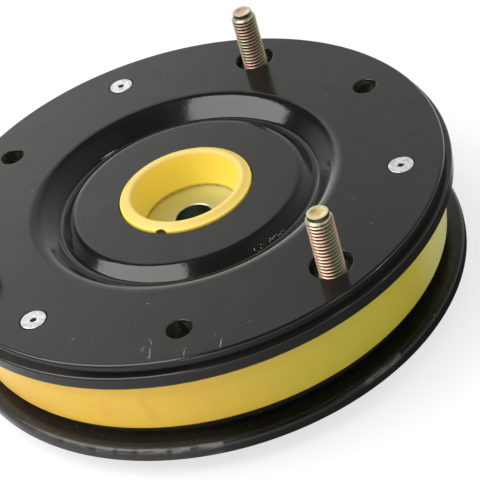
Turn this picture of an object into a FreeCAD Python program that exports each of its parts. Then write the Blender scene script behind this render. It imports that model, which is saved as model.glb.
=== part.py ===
import FreeCAD, Part
import math
import os

# A front strut mount. Millimetres, +Z up and along the damper rod's axis.
# The origin is on that axis, in the flat face that bolts up against the body.
# Radii are built outwards from the cup in the middle, levels downwards from the flat face.

# Top plate, one pressed sheet with a moat round a raised crown
plate_t = 4.0
plate_margin = 16.0
plate_edge_round = 1.2
crown_w = 19.05
crown_depth = 2.7
crown_round = 5.0
crown_slope_w = 5.8
groove_depth = 7.0
groove_round = 2.6
recess_slope_w = 8.4
recess_round = 8.0

# Three studs, three rivets and three plain holes share one circle, 170 across
pattern_land = 25.5
pattern_count = 3
first_stud_angle = 60.0
rivet_step_angle = 40.0
hole_step_angle = 80.0
plain_hole_d = 9.3

# Stud plate, riveted under the top plate
stud_plate_t = 5.5
stud_plate_proud = 2.3
stud_plate_top_round = 0.9
stud_plate_low_round = 1.2
stud_plate_bore_clearance = 4.0

# Studs, M10 with a short dog point
stud_d = 10.0
stud_reach = 23.5
stud_shank_oversize = 0.4
stud_hole_clearance = 2.85
stud_head_w = 3.5
stud_head_t = 3.0
stud_point_step = 1.3
stud_point_h = 1.8
stud_chamfer_h = 1.3
stud_dish_rim = 0.9
stud_dish_depth = 0.4

# Rivets with flush heads
rivet_shank_d = 6.0
rivet_head_w = 1.95
rivet_head_land = 0.6
rivet_head_draft = 0.3
rivet_head_depth = 2.2
rivet_proud = 0.15
rivet_gap = 0.3
rivet_dimple_d = 2.6
rivet_dimple_depth = 0.9
rivet_dimple_draft = 0.3
rivet_tail_w = 2.5
rivet_tail_h = 2.2

# Polyurethane bush in two halves round the rod disc
bush_neck_d = 52.5
bush_neck_gap = 0.5
bush_lip_height = 0.35
bush_lip_w = 4.65
bush_edge_rise = 0.6
bush_lip_round = 1.4
bush_play = 0.3
bush_corner_round = 1.5
cup_draft = 2.2
notch_angle = 240.0
notch_w = 4.4
notch_depth = 0.7

# Rod disc and the sleeve welded under it
rod_bore_d = 14.6
rod_bore_chamfer = 0.4
rod_disc_t = 3.0
rod_disc_cover = 4.8
rod_disc_side_cover = 14.0
rod_disc_round = 0.8
rod_sleeve_wall = 4.7
rod_sleeve_reach = 4.0

# Bush housing, a pressed cup clamped under the stud plate
housing_t = 2.5
housing_round = 4.0
housing_plate_gap = 0.3
housing_floor_gap = 8.0
housing_flange_gap = 0.8
housing_below_retainer = 4.1

# Isolator ring, polyurethane
ring_h = 26.0
ring_inset = 4.6
ring_taper = 2.2
ring_bulge = 0.6
ring_bulge_share = 1 / 3
ring_bulge_round = 12.0
ring_edge_round = 1.6
ring_inner_wall = 4.9
ring_channel_gap = 2.0
ring_channel_side = 1.2
ring_channel_round = 1.5

# Steering bearing
bearing_inset = 11.0
ball_d = 6.0
ball_count = 24
ball_play = 0.15
race_w = 16.0
race_h = 3.4
race_groove_depth = 1.0
race_side_gap = 0.6
race_round = 0.5
cage_wall = 2.3
cage_ball_gap = 0.2
cage_race_gap = 0.9
seal_w = 2.2
seal_h = 3.2
seal_gap = 0.3
seal_offset = 2.9

# Spring seat, its rubber pad and the ring that keeps the seat up
running_gap = 0.4
seat_t = 3.0
seat_bore_gap = 4.0
seat_hat_inset = 5.3
seat_hat_round = 3.0
seat_wall_taper = 0.6
seat_flange_w = 10.9
seat_flange_drop = 4.7
seat_flange_round = 2.2
seat_lip_round = 3.2
seat_lip_h = 4.9
retainer_t = 2.0
retainer_lap = 4.0
retainer_collar_h = 8.0
retainer_bend_round = 3.0
pad_t = 6.6
pad_bore_gap = 3.0
pad_side_gap = 0.5
pad_collar_t = 4.5
pad_collar_h = 8.0
pad_round = 1.5

# Shared by all pieces
edge_round = 0.8
fine_round = 0.3
cut_past = 1.0
round_share = 0.49
full_turn = 360.0
z_axis = FreeCAD.Vector(0, 0, 1)
origin = FreeCAD.Vector(0, 0, 0)


def point(r, z):
    return FreeCAD.Vector(r, 0, z)


# An outline is a closed list of corners (radius, height, rounding),
# and a rounding never takes more than its share of the shorter wall beside it
def outline_wire(corners):
    edges = []
    starts = []
    ends = []
    arcs = []
    total = len(corners)
    for i in range(total):
        corner = point(corners[i][0], corners[i][1])
        before = point(corners[i - 1][0], corners[i - 1][1]) - corner
        after = point(corners[(i + 1) % total][0], corners[(i + 1) % total][1]) - corner
        half_angle = before.getAngle(after) / 2
        rounding = corners[i][2]
        room = round_share * min(before.Length, after.Length)
        if rounding <= 0:
            starts.append(corner)
            ends.append(corner)
            arcs.append(None)
            continue
        reach = min(rounding / math.tan(half_angle), room)
        radius = reach * math.tan(half_angle)
        before.normalize()
        after.normalize()
        inward = before + after
        inward.normalize()
        starts.append(corner + before * reach)
        ends.append(corner + after * reach)
        arcs.append(corner + inward * (radius / math.sin(half_angle) - radius))
    for i in range(total):
        if arcs[i] is not None:
            edges.append(Part.Arc(starts[i], arcs[i], ends[i]).toShape())
        edges.append(Part.LineSegment(ends[i], starts[(i + 1) % total]).toShape())
    return Part.Wire(edges)


def one_solid(shape):
    solid = shape.Solids[0] if len(shape.Solids) == 1 else shape
    if solid.Volume < 0:
        solid.reverse()
    return solid


def turned(corners):
    face = Part.Face(outline_wire(corners))
    return one_solid(face.revolve(origin, z_axis, full_turn))


def band(inner, outer, low, high, rounding=0.0):
    return turned([(inner, low, rounding), (outer, low, rounding),
                   (outer, high, rounding), (inner, high, rounding)])


# The line parallel to a path on its right-hand side, with roundings to match
def parallel_path(path, distance):
    normals = []
    for i in range(len(path) - 1):
        along = FreeCAD.Vector(path[i + 1][0] - path[i][0], path[i + 1][1] - path[i][1], 0)
        along.normalize()
        normals.append(FreeCAD.Vector(along.y, -along.x, 0))
    moved = []
    for i in range(len(path)):
        before = normals[max(i - 1, 0)]
        after = normals[min(i, len(normals) - 1)]
        shift = (before + after) * (distance / (1 + before.dot(after)))
        turns_left = before.x * after.y - before.y * after.x > 0
        rounding = path[i][2]
        if rounding > 0:
            rounding = rounding + distance if turns_left else max(rounding - distance, fine_round)
        moved.append((path[i][0] + shift.x, path[i][1] + shift.y, rounding))
    return moved


# A pressed sheet's section has the path on one side and its parallel on the other
def sheet(path, thickness, end_round=0.0):
    last_r, last_z, _ = path[-1]
    face_side = path[:-1] + [(last_r, last_z, end_round)]
    return turned(face_side + parallel_path(path, thickness)[::-1])


def at_pattern(shape, angle):
    placed = shape.copy()
    placed.translate(FreeCAD.Vector(pattern_r, 0, 0))
    placed.rotate(origin, z_axis, angle)
    return placed


def pattern_angles(step=0.0):
    return [first_stud_angle + step + i * full_turn / pattern_count for i in range(pattern_count)]


def pattern_pins(radius, low, high, step=0.0):
    pin = Part.makeCylinder(radius, high - low, FreeCAD.Vector(0, 0, low))
    return [at_pattern(pin, angle) for angle in pattern_angles(step)]


def cut_all(shape, cutters):
    return one_solid(shape.cut(cutters))


# Levels, from the flat face down
joint_level = -plate_t
under_level = joint_level - stud_plate_t
disc_level = -(groove_depth + plate_t + rod_disc_cover)
disc_low_level = disc_level - rod_disc_t
split_level = (disc_level + disc_low_level) / 2
channel_level = under_level - stud_head_t - ring_channel_gap
ring_low_level = under_level - ring_h
seat_level = ring_low_level - running_gap
seat_under_level = seat_level - seat_t
pad_level = seat_under_level - pad_t
flange_level = seat_level - seat_flange_drop
retainer_low_level = seat_under_level - running_gap - retainer_t
housing_low_level = retainer_low_level - housing_below_retainer
housing_floor_level = housing_low_level + housing_t
sleeve_low_level = housing_low_level - rod_sleeve_reach
race_land = ball_d / 2 - race_groove_depth
ball_level = seat_level + race_h + race_land
race_top_level = ball_level + race_land + race_h

# Radii, from the cup's neck out
neck_r = bush_neck_d / 2
mouth_r = neck_r - bush_lip_w
crown_r = neck_r + crown_w
groove_r = crown_r + crown_slope_w
recess_r = groove_r + recess_slope_w
pattern_r = recess_r + pattern_land
plate_r = pattern_r + plate_margin
stud_plate_r = plate_r + stud_plate_proud
stud_r = stud_d / 2
stud_shank_r = stud_r + stud_shank_oversize / 2
stud_head_r = stud_r + stud_head_w
rivet_r = rivet_shank_d / 2
rivet_hole_r = rivet_r + rivet_gap / 4
plain_hole_r = plain_hole_d / 2
channel_in_r = pattern_r - stud_head_r - ring_channel_side
channel_out_r = pattern_r + stud_head_r + ring_channel_side
ring_top_r = stud_plate_r - ring_inset
ring_low_r = ring_top_r - ring_taper
bearing_r = pattern_r - bearing_inset
race_in_r = bearing_r - race_w / 2
race_out_r = bearing_r + race_w / 2
pocket_in_r = race_in_r - race_side_gap
pocket_out_r = race_out_r + race_side_gap
ring_bore_r = pocket_in_r - ring_inner_wall
inner_seal_r = ring_bore_r + ring_inner_wall / 2
outer_seal_r = pocket_out_r + seal_offset
seat_hat_r = ring_low_r - seat_hat_inset
seat_wall_r = seat_hat_r + seat_wall_taper
seat_rim_r = seat_wall_r + seat_flange_w

# The top plate's upper side, from the cup's neck out to the rim
plate_path = [
    (neck_r + bush_neck_gap, -crown_depth, 0),
    (crown_r, -crown_depth, crown_round),
    (groove_r, -groove_depth, groove_round),
    (recess_r, 0, recess_round),
    (plate_r, 0, 0),
]
_, under_crown, under_groove, under_recess, _ = parallel_path(plate_path, plate_t)

# The housing's wall stands just outside the moat's underside
moat_share = max(0, (under_level - under_groove[1]) / (under_recess[1] - under_groove[1]))
moat_under_r = under_groove[0] + moat_share * (under_recess[0] - under_groove[0])
housing_r = moat_under_r + housing_plate_gap
bush_r = housing_r - bush_play
disc_r = bush_r - rod_disc_side_cover
disc_pocket_r = disc_r + bush_play
rod_bore_r = rod_bore_d / 2
sleeve_r = rod_bore_r + rod_sleeve_wall
retainer_r = housing_r + housing_t
seat_bore_r = retainer_r + seat_bore_gap
retainer_rim_r = seat_bore_r + retainer_lap
pad_bore_r = retainer_rim_r + pad_bore_gap


def top_plate():
    low, high = joint_level - cut_past, cut_past
    cutters = pattern_pins(stud_r + stud_hole_clearance, low, high)
    cutters += pattern_pins(plain_hole_r, low, high, hole_step_angle)
    sink_r = rivet_r + rivet_head_w + rivet_gap
    countersink = turned([
        (0, low, 0), (rivet_hole_r, low, 0), (rivet_hole_r, -rivet_head_depth, 0),
        (sink_r, -rivet_head_land, 0), (sink_r, high, 0), (0, high, 0),
    ])
    cutters += [at_pattern(countersink, angle) for angle in pattern_angles(rivet_step_angle)]
    return cut_all(sheet(plate_path, plate_t, plate_edge_round), cutters)


def stud_plate():
    bore_r = recess_r + stud_plate_bore_clearance
    plate = turned([
        (bore_r, under_level, 0), (stud_plate_r, under_level, stud_plate_low_round),
        (stud_plate_r, joint_level, stud_plate_top_round), (bore_r, joint_level, 0),
    ])
    low, high = under_level - cut_past, joint_level + cut_past
    cutters = pattern_pins(stud_shank_r, low, high)
    cutters += pattern_pins(plain_hole_r, low, high, hole_step_angle)
    cutters += pattern_pins(rivet_hole_r, low, high, rivet_step_angle)
    return cut_all(plate, cutters)


def stud():
    point_r = stud_r - stud_point_step
    point_level = stud_reach - stud_point_h
    return turned([
        (0, under_level - stud_head_t, 0),
        (stud_head_r, under_level - stud_head_t, fine_round),
        (stud_head_r, under_level, 0),
        (stud_shank_r, under_level, 0),
        (stud_shank_r, joint_level, 0),
        (stud_r, joint_level, 0),
        (stud_r, point_level - stud_chamfer_h, 0),
        (point_r, point_level, 0),
        (point_r, stud_reach, fine_round),
        (point_r - stud_dish_rim, stud_reach, 0),
        (0, stud_reach - stud_dish_depth, 0),
    ])


def rivet():
    head_r = rivet_r + rivet_head_w
    tail_r = rivet_r + rivet_tail_w
    return turned([
        (0, under_level - rivet_tail_h, 0),
        (tail_r, under_level - rivet_tail_h, rivet_tail_h / 2),
        (tail_r, under_level, 0),
        (rivet_r, under_level, 0),
        (rivet_r, -rivet_head_depth, 0),
        (head_r - rivet_head_draft, -rivet_head_land, 0),
        (head_r, rivet_proud, rivet_proud),
        (rivet_dimple_d / 2, rivet_proud, 0),
        (rivet_dimple_d / 2 - rivet_dimple_draft, rivet_proud - rivet_dimple_depth, 0),
        (0, rivet_proud - rivet_dimple_depth, 0),
    ])


def bush_notch():
    notch = Part.makeCylinder(notch_w / 2, 2 * notch_depth, FreeCAD.Vector(0, 0, -notch_depth))
    notch.rotate(origin, FreeCAD.Vector(0, 1, 0), full_turn / 4)
    notch.translate(FreeCAD.Vector(neck_r, 0, -crown_depth))
    notch.rotate(origin, z_axis, notch_angle)
    return notch


def upper_bush():
    bush = turned([
        (mouth_r - cup_draft, disc_level, 0),
        (disc_pocket_r, disc_level, 0),
        (disc_pocket_r, split_level, 0),
        (bush_r, split_level, 0),
        (bush_r, under_groove[1], bush_corner_round),
        under_groove,
        under_crown,
        (neck_r, under_crown[1], 0),
        (neck_r, bush_edge_rise - crown_depth, fine_round),
        (mouth_r, bush_lip_height, bush_lip_round),
    ])
    return cut_all(bush, [bush_notch()])


def lower_bush():
    return turned([
        (sleeve_r, housing_floor_level, 0),
        (bush_r, housing_floor_level, housing_round + bush_play),
        (bush_r, split_level, 0),
        (disc_pocket_r, split_level, 0),
        (disc_pocket_r, disc_low_level, 0),
        (sleeve_r, disc_low_level, 0),
    ])


def rod_disc():
    return turned([
        (rod_bore_r, disc_low_level, 0),
        (disc_r, disc_low_level, rod_disc_round),
        (disc_r, disc_level, rod_disc_round),
        (rod_bore_r + rod_bore_chamfer, disc_level, 0),
        (rod_bore_r, disc_level - rod_bore_chamfer, 0),
    ])


def rod_sleeve():
    return turned([
        (rod_bore_r, sleeve_low_level, 0), (sleeve_r, sleeve_low_level, edge_round),
        (sleeve_r, disc_low_level, 0), (rod_bore_r, disc_low_level, 0),
    ])


def bush_housing():
    return sheet([
        (sleeve_r + housing_floor_gap, housing_floor_level, 0),
        (housing_r, housing_floor_level, housing_round),
        (housing_r, under_level, housing_round),
        (channel_in_r - housing_flange_gap, under_level, 0),
    ], housing_t)


def seal_slot(radius):
    return band(radius - seal_w / 2, radius + seal_w / 2,
                ring_low_level - cut_past, seat_level + seal_gap + seal_h)


def isolator_ring():
    land_level = under_level - housing_t
    bulge_r = ring_top_r - ring_taper * ring_bulge_share + ring_bulge
    ring = turned([
        (ring_bore_r, ring_low_level, edge_round),
        (pocket_in_r, ring_low_level, 0),
        (pocket_in_r, race_top_level, 0),
        (pocket_out_r, race_top_level, 0),
        (pocket_out_r, ring_low_level, 0),
        (ring_low_r, ring_low_level, ring_edge_round),
        (bulge_r, under_level - ring_h * ring_bulge_share, ring_bulge_round),
        (ring_top_r, under_level, edge_round),
        (channel_out_r, under_level, 0),
        (channel_out_r, channel_level, ring_channel_round),
        (channel_in_r, channel_level, ring_channel_round),
        (channel_in_r, land_level, 0),
        (ring_bore_r, land_level, edge_round),
    ])
    return cut_all(ring, [seal_slot(inner_seal_r), seal_slot(outer_seal_r)])


def seal(radius):
    lip_level = seat_level + seal_gap
    inner, outer = radius - seal_w / 2, radius + seal_w / 2
    return turned([
        (inner, lip_level + seal_w / 2, 0), (radius, lip_level, fine_round),
        (outer, lip_level + seal_w / 2, 0),
        (outer, lip_level + seal_h, 0), (inner, lip_level + seal_h, 0),
    ])


def lower_race():
    body = band(race_in_r, race_out_r, seat_level, seat_level + race_h, race_round)
    groove = Part.makeTorus(bearing_r, ball_d / 2 + ball_play, FreeCAD.Vector(0, 0, ball_level))
    return cut_all(body, [groove])


def upper_race():
    return one_solid(lower_race().mirror(FreeCAD.Vector(0, 0, ball_level), z_axis))


def ball_places():
    step = 2 * math.pi / ball_count
    return [FreeCAD.Vector(bearing_r * math.cos(i * step), bearing_r * math.sin(i * step), ball_level)
            for i in range(ball_count)]


def ball_cage():
    pocket_r = ball_d / 2 + cage_ball_gap
    half_w = pocket_r + cage_wall
    half_h = race_land - cage_race_gap
    ring = band(bearing_r - half_w, bearing_r + half_w, ball_level - half_h, ball_level + half_h)
    pocket = Part.makeCylinder(pocket_r, 2 * ball_d, FreeCAD.Vector(0, 0, -ball_d))
    return cut_all(ring, [pocket.translated(place) for place in ball_places()])


def bearing_balls():
    return Part.makeCompound([Part.makeSphere(ball_d / 2, place) for place in ball_places()])


def spring_seat():
    return sheet([
        (seat_bore_r, seat_level, 0),
        (seat_hat_r, seat_level, seat_hat_round),
        (seat_wall_r, flange_level, seat_flange_round),
        (seat_rim_r, flange_level, seat_lip_round),
        (seat_rim_r, flange_level - seat_lip_h, 0),
    ], seat_t)


def spring_pad():
    outer_r = seat_hat_r - seat_t - pad_side_gap
    collar_r = pad_bore_r + pad_collar_t
    collar_level = pad_level - pad_collar_h
    return turned([
        (pad_bore_r, collar_level, pad_round),
        (collar_r, collar_level, pad_round),
        (collar_r, pad_level, pad_round),
        (outer_r, pad_level, pad_round),
        (outer_r, seat_under_level, 0),
        (pad_bore_r, seat_under_level, 0),
    ])


def retaining_ring():
    return sheet([
        (retainer_rim_r, retainer_low_level, 0),
        (retainer_r, retainer_low_level, retainer_bend_round),
        (retainer_r, retainer_low_level + retainer_collar_h, 0),
    ], retainer_t)


def save(name, shape):
    shape.exportStep("parts/" + name + ".step")
    print(name, len(shape.Solids), "solids", round(shape.Volume, 1), "mm3", shape.isValid())


os.makedirs("parts", exist_ok=True)
save("top_plate", top_plate())
save("stud_plate", stud_plate())
for number, angle in enumerate(pattern_angles(), 1):
    save("stud_%d" % number, at_pattern(stud(), angle))
for number, angle in enumerate(pattern_angles(rivet_step_angle), 1):
    save("rivet_%d" % number, at_pattern(rivet(), angle))
save("upper_bush", upper_bush())
save("lower_bush", lower_bush())
save("rod_disc", rod_disc())
save("rod_sleeve", rod_sleeve())
save("bush_housing", bush_housing())
save("isolator_ring", isolator_ring())
save("upper_race", upper_race())
save("lower_race", lower_race())
save("ball_cage", ball_cage())
save("bearing_balls", bearing_balls())
save("inner_seal", seal(inner_seal_r))
save("outer_seal", seal(outer_seal_r))
save("spring_seat", spring_seat())
save("spring_pad", spring_pad())
save("retaining_ring", retaining_ring())
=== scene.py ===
import bmesh
import bpy
import math
from mathutils import Matrix, Vector


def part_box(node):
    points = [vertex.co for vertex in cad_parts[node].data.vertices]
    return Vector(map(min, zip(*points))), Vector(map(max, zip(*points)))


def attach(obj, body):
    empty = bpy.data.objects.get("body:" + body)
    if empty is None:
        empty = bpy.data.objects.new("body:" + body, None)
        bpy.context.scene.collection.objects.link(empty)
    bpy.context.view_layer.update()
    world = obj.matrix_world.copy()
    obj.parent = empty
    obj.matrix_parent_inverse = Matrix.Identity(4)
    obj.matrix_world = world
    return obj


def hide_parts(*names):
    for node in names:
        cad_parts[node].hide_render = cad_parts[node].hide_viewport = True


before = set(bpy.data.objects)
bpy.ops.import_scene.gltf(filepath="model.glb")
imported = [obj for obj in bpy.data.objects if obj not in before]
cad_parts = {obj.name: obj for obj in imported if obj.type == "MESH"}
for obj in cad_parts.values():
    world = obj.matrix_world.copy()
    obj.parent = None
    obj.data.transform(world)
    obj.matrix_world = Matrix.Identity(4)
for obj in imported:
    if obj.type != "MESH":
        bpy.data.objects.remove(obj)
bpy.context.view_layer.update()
mm = 0.001
fullTurn = 2 * math.pi
white = (1, 1, 1)


def note(text):
    print("strut mount:", text)


# radius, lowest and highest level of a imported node, in mm
def reach(node):
    lowest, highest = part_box(node)
    return highest.x / mm, lowest.z / mm, highest.z / mm


plateRadius, _, _ = reach("top_plate")
studPlateRadius, underLevel, jointLevel = reach("stud_plate")
_, _, studTop = reach("stud_3")
_, ringLow, _ = reach("isolator_ring")
seatRadius, seatLipLow, seatTop = reach("spring_seat")
_, padLow, _ = reach("spring_pad")
_, _, raceTop = reach("upper_race")
discRadius, discLow, discTop = reach("rod_disc")
sleeveRadius, sleeveLow, _ = reach("rod_sleeve")
bushRadius, bushSplit, _ = reach("upper_bush")
housingRadius, housingLow, _ = reach("bush_housing")
retainerRadius, retainerLow, retainerTop = reach("retaining_ring")
_, _, sealTop = reach("inner_seal")

# lengths of pieces are in mm and angles in degrees, unless a note says otherwise
pattern = {"radius": 85.0, "count": 3, "studAngle": 60.0, "rivetAngle": 100.0, "holeAngle": 140.0}
smooth = {
    "arcStep": 7.0, "holdIn": 0.35, "segments": 288, "sharpAngle": 32.0, "cornerShare": 0.49,
    "leastRounding": 0.3,
}


def newObject(name, data):
    thing = bpy.data.objects.new(name, data)
    bpy.context.scene.collection.objects.link(thing)
    return thing


# Node helpers, for shader and geometry trees alike

def emptyTree(owner):
    owner.use_nodes = True
    owner.node_tree.nodes.clear()
    return owner.node_tree


# a value is another node's output or a constant, and a constant colour has three parts
def wire(value, socket):
    if isinstance(value, bpy.types.NodeSocket):
        socket.id_data.links.new(value, socket)
    else:
        socket.default_value = (*value, 1) if socket.type == "RGBA" else value


# adds a node and gives its outputs
def addNode(tree, kind, inputs=None, **settings):
    node = tree.nodes.new(kind)
    for key, value in settings.items():
        setattr(node, key, value)
    for key, value in (inputs or {}).items():
        wire(value, node.inputs[key])
    return node.outputs


# the same in the tree that one of the inputs comes from
def follow(kind, inputs, **settings):
    source = next(value for value in inputs.values() if isinstance(value, bpy.types.NodeSocket))
    return addNode(source.id_data, kind, inputs, **settings)


def maths(operation, *values):
    return follow("ShaderNodeMath", dict(enumerate(values)), operation=operation)[0]


def plus(first, second):
    return maths("ADD", first, second)


def minus(first, second):
    return maths("SUBTRACT", first, second)


def times(first, second):
    return maths("MULTIPLY", first, second)


def larger(first, second):
    return maths("MAXIMUM", first, second)


def apart(first, second):
    return maths("ABSOLUTE", minus(first, second))


def split(vector):
    return follow("ShaderNodeSeparateXYZ", {"Vector": vector})


def join(**parts):
    return follow("ShaderNodeCombineXYZ", parts)[0]


def lengthOf(vector):
    return follow("ShaderNodeVectorMath", {0: vector}, operation="LENGTH")["Value"]


# distance from the rod's axis in metres, and turn about it in degrees
def aroundAxis(parts):
    radius = lengthOf(join(X=parts["X"], Y=parts["Y"]))
    return radius, maths("DEGREES", maths("ARCTAN2", parts["Y"], parts["X"]))


def remap(value, low, high, lowTo=0.0, highTo=1.0, smoothly=True):
    return follow("ShaderNodeMapRange",
                  {"Value": value, "From Min": low, "From Max": high, "To Min": lowTo, "To Max": highTo},
                  interpolation_type="SMOOTHSTEP" if smoothly else "LINEAR")["Result"]


# 0 at one height over a level and the share at another, in mm
def byHeight(height, level, start, end, share=1.0):
    return remap(height, (level + start) * mm, (level + end) * mm, 0.0, share)


def blendColours(share, first, second):
    return follow("ShaderNodeMix", {0: share, 6: first, 7: second}, data_type="RGBA")[2]


def blendShaders(share, first, second):
    return follow("ShaderNodeMixShader", {0: share, 1: first, 2: second})[0]


def shine(tree, kind, strength, colour=white):
    return addNode(tree, "ShaderNode" + kind, {"Color": colour, "Strength": strength})[0]


# Camera and studio

view = {
    "place": (13.496, -540.631, 373.391), "aim": (14.457, -44.828, 0.0), "roll": -16.7725,
    "lens": 127.653, "sensor": 36.0, "clip": 10.0,
}

# Gloss mirrors a bright band over the horizon, under a dark ceiling. The band's top and its fade are
# the Z of a direction, and its light has a share. All three change to the left and to the right, by the
# direction's X. The light also falls with Z and from left to right.
studio = {
    "fill": 0.62,
    "middle": {"top": 0.69, "fade": 0.06, "share": 1.0},
    "left": {"from": -0.20, "to": -0.42, "top": 0.28, "fade": 0.27, "share": 0.25},
    "right": {"from": 0.2, "to": 0.5, "top": 0.35, "fade": 0.8, "share": 0.75},
    "gainByHeight": (0.0, 0.7, 1.75, 0.75), "gainBySide": (-0.19, 0.06, 1.45, 0.76),
    "bandColour": (1.0, 0.995, 0.95), "ceilingColour": (0.012, 0.022, 0.024),
}

# The floor is pale and glows a little for the camera. Where gloss mirrors it, it shows a painted reflection
# of its own:
# grey that darkens with X, and a glow behind a slanting line, as if lit there.
floorLook = {
    "size": 8.0, "colour": (0.95, 0.95, 0.95), "glow": 0.7, "mirroredGrey": (-0.15, 0.16, 0.62, 0.04),
    "mirroredLight": 1.3, "lineSlant": 0.3, "lineFade": (-0.045, 0.02),
}

# place, aim and size in metres, and a turn about the lamp's own axis
areaLamps = {
    "softbox": {
        "place": (-1.25, 0.0, 1.5), "aim": (-1.25, 0.0, 0), "turn": -8.5, "size": (1.95, 1.5),
        "radiance": 4.9, "colour": (1.0, 0.975, 0.935)},
    "smallLamp": {
        "place": (1.1, -0.8, 1.6), "aim": (0, 0, 0), "size": (0.22, 0.22),
        "radiance": 9.0, "colour": (1.0, 1.0, 1.0)},
    "frontFill": {
        "place": (-0.9, -1.9, 1.0), "aim": (0, 0, 0), "size": (1.2, 0.8),
        "radiance": 0.95, "colour": (1.0, 0.97, 0.93)},
}
# lights the cup's inner wall only: its cone is 3 cm in radius where it meets the cup
cupSpot = {
    "place": (1.5, -0.55, 0.8), "aim": (-0.004, 0.0, -0.006), "cone": 2.1, "blend": 0.6,
    "radius": 0.08, "watts": 46.0,
}


def makeCamera():
    data = bpy.data.cameras.new("photoCamera")
    camera = newObject("photoCamera", data)
    place = Vector(view["place"]) * mm
    sight = Vector(view["aim"]) * mm - place
    upright = sight.to_track_quat("-Z", "Y").to_matrix()
    camera.matrix_world = Matrix.Translation(place) @ (
        upright @ Matrix.Rotation(math.radians(view["roll"]), 3, "Z")).to_4x4()
    data.lens = view["lens"]
    data.sensor_width = view["sensor"]
    data.clip_start = view["clip"] * mm
    bpy.context.scene.camera = camera


def makeWorld():
    world = bpy.data.worlds.new("studio")
    bpy.context.scene.world = world
    tree = emptyTree(world)
    parts = split(addNode(tree, "ShaderNodeTexCoord")["Generated"])
    middle, left, right = studio["middle"], studio["left"], studio["right"]
    atLeft = remap(parts["X"], left["to"], left["from"], 1.0, 0.0)
    atRight = remap(parts["X"], right["from"], right["to"])

    def sideways(key):
        shifted = maths("MULTIPLY_ADD", atLeft, left[key] - middle[key], middle[key])
        return maths("MULTIPLY_ADD", atRight, right[key] - middle[key], shifted)

    over = maths("DIVIDE", minus(parts["Z"], sideways("top")), sideways("fade"))
    tint = blendColours(remap(over, 0.0, 1.0), studio["bandColour"], studio["ceilingColour"])
    falling = remap(parts["Z"], *studio["gainByHeight"], smoothly=False)
    bySide = remap(parts["X"], *studio["gainBySide"], smoothly=False)
    strength = times(times(sideways("share"), falling), bySide)
    mirrored = shine(tree, "Background", strength, tint)
    fill = shine(tree, "Background", studio["fill"])
    seen = shine(tree, "Background", 1.0)
    ray = addNode(tree, "ShaderNodeLightPath")
    lit = blendShaders(larger(ray["Is Glossy Ray"], ray["Is Transmission Ray"]), fill, mirrored)
    addNode(tree, "ShaderNodeOutputWorld", {"Surface": blendShaders(ray["Is Camera Ray"], lit, seen)})


def placeLamp(data, lamp):
    holder = newObject(data.name, data)
    holder.location = lamp["place"]
    facing = (Vector(lamp["aim"]) - holder.location).to_track_quat("-Z", "Y").to_matrix()
    turn = Matrix.Rotation(math.radians(lamp.get("turn", 0)), 3, "Z")
    holder.rotation_euler = (facing @ turn).to_euler()


def makeLamps():
    for name, lamp in areaLamps.items():
        data = bpy.data.lights.new(name, "AREA")
        data.shape = "RECTANGLE"
        data.size, data.size_y = lamp["size"]
        data.energy = lamp["radiance"] * math.pi * data.size * data.size_y
        data.color = lamp["colour"]
        placeLamp(data, lamp)
    data = bpy.data.lights.new("cupSpot", "SPOT")
    data.spot_size = math.radians(cupSpot["cone"])
    data.spot_blend = cupSpot["blend"]
    data.shadow_soft_size = cupSpot["radius"]
    data.energy = cupSpot["watts"]
    placeLamp(data, cupSpot)


def makeFloor():
    half = floorLook["size"] / 2
    mesh = bpy.data.meshes.new("floor")
    corners = [(-half, -half), (half, -half), (half, half), (-half, half)]
    mesh.from_pydata([(x, y, padLow * mm) for x, y in corners], [], [(0, 1, 2, 3)])
    floor = newObject("floor", mesh)
    material = bpy.data.materials.new("paleFloor")
    tree = emptyTree(material)
    ray = addNode(tree, "ShaderNodeLightPath")
    paper = addNode(tree, "ShaderNodeBsdfDiffuse", {"Color": floorLook["colour"]})[0]
    seen = blendShaders(times(ray["Is Camera Ray"], floorLook["glow"]), paper, shine(tree, "Emission", 1.0))
    spot = split(addNode(tree, "ShaderNodeTexCoord")["Object"])
    # painted reflection: what gloss sees of the floor darkens with X and glows behind a slanting line
    grey = remap(spot["X"], *floorLook["mirroredGrey"])
    behind = remap(minus(spot["Y"], times(spot["X"], floorLook["lineSlant"])), *floorLook["lineFade"])
    shaded = addNode(tree, "ShaderNodeBsdfDiffuse", {"Color": grey})[0]
    mirrored = blendShaders(behind, shaded, shine(tree, "Emission", floorLook["mirroredLight"]))
    whole = blendShaders(ray["Is Glossy Ray"], seen, mirrored)
    addNode(tree, "ShaderNodeOutputMaterial", {"Surface": whole})
    mesh.materials.append(material)


# Outlines and turned shapes

# corners are (radius, height, rounding), and each rounding becomes an arc
def roundedOutline(corners):
    total = len(corners)
    spots = [Vector(corner[:2]) for corner in corners]
    runs = []
    for i in range(total):
        before = spots[i - 1] - spots[i]
        after = spots[(i + 1) % total] - spots[i]
        if corners[i][2] <= 0:
            runs.append([spots[i]])
            continue
        half = before.angle(after) / 2
        back = min(corners[i][2] / math.tan(half), smooth["cornerShare"] * min(before.length, after.length))
        radius = back * math.tan(half)
        middle = spots[i] + (before.normalized() + after.normalized()).normalized() * radius / math.sin(half)
        start = spots[i] + before.normalized() * back - middle
        end = spots[i] + after.normalized() * back - middle
        sweep = start.angle(end)
        if start.x * end.y - start.y * end.x < 0:
            sweep = -sweep
        steps = max(3, math.ceil(math.degrees(abs(sweep)) / smooth["arcStep"]))
        arc = []
        for step in range(steps + 1):
            angle = sweep * step / steps
            arc.append(middle + Vector((start.x * math.cos(angle) - start.y * math.sin(angle),
                                        start.x * math.sin(angle) + start.y * math.cos(angle))))
        runs.append(arc)
    return [(point.x, point.y) for point in joinRuns(runs)]


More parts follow.
